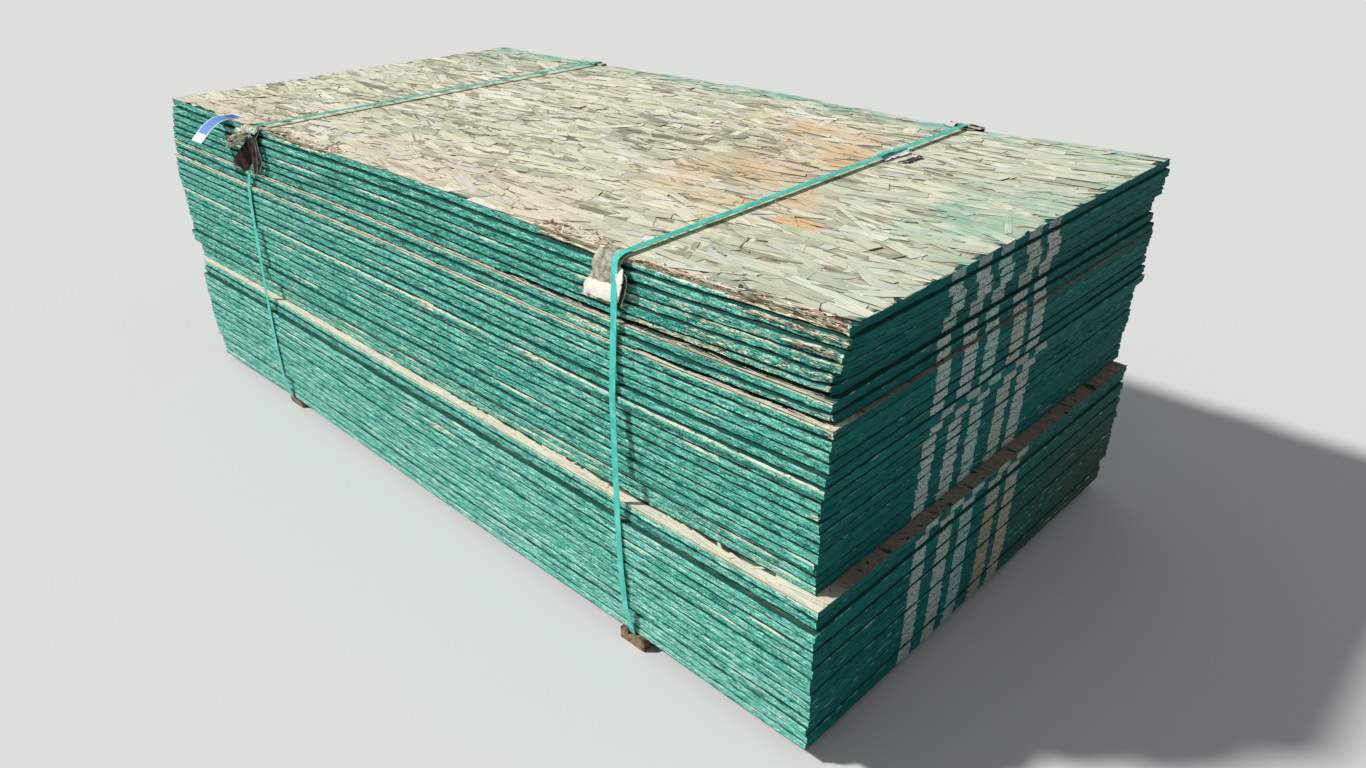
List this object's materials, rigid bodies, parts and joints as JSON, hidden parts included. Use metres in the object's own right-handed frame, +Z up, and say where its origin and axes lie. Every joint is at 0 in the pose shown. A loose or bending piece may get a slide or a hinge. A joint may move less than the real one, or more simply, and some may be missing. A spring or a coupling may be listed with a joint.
{
  "type": "stack of osb panels",
  "caption": "Weathered unit of oriented strand board sheets with green painted edges, on grooved runners, held by two plastic straps over board edge guards.",
  "frame": {"origin": "middle of the whole bundle's outline (with the tag and the edge guards), on the ground", "axes": "+X along the long side of the panels, towards the end with the painted bars; -Y is the long side with the tag and the open edge guards; +Z up"},
  "size_m": [2.477, 1.3216, 0.8543],
  "materials": {
    "osb_face": "weathered strands, dry and matte, greyed",
    "osb_painted_edge": "teal-green edge sealer, sprayed, mottled and worn",
    "strap_plastic": "embossed green polyester strapping",
    "guard_board": "laminated board, torn and rain-darkened, one ply still white",
    "tag_card": "coated white card with plain blue blocks",
    "runner_wood": "rough sawn, dirty"
  },
  "bodies": {
    "root": {"edge_guard_back_left": "guard_board", "edge_guard_back_right": "guard_board", "edge_guard_front_left": "guard_board", "edge_guard_front_right": "guard_board", "panel_01": "osb_face", "panel_02": "osb_painted_edge", "panel_03": "osb_painted_edge", "panel_04": "osb_painted_edge", "panel_05": "osb_painted_edge", "panel_06": "osb_painted_edge", "panel_07": "osb_painted_edge", "panel_08": "osb_painted_edge", "panel_09": "osb_painted_edge", "panel_10": "osb_painted_edge", "panel_11": "osb_painted_edge", "panel_12": "osb_painted_edge", "panel_13": "osb_painted_edge", "panel_14": "osb_painted_edge", "panel_15": "osb_painted_edge", "panel_16": "osb_painted_edge", "panel_17": "osb_painted_edge", "panel_18": "osb_painted_edge", "panel_19": "osb_painted_edge", "panel_20": "osb_painted_edge", "panel_21": "osb_painted_edge", "panel_22": "osb_painted_edge", "panel_23": "osb_painted_edge", "panel_24": "osb_painted_edge", "panel_25": "osb_painted_edge", "panel_26": "osb_painted_edge", "panel_27": "osb_painted_edge", "panel_28": "osb_painted_edge", "panel_29": "osb_painted_edge", "panel_30": "osb_painted_edge", "panel_31": "osb_painted_edge", "panel_32": "osb_painted_edge", "panel_33": "osb_painted_edge", "panel_34": "osb_painted_edge", "panel_35": "osb_painted_edge", "panel_36": "osb_painted_edge", "panel_37": "osb_painted_edge", "panel_38": "osb_painted_edge", "panel_39": "osb_painted_edge", "panel_40": "osb_painted_edge", "panel_41": "osb_painted_edge", "panel_42": "osb_painted_edge", "runner_left": "runner_wood", "runner_right": "runner_wood", "strap_left": "strap_plastic", "strap_right": "strap_plastic", "tag": "tag_card"}
  },
  "joints": []
}
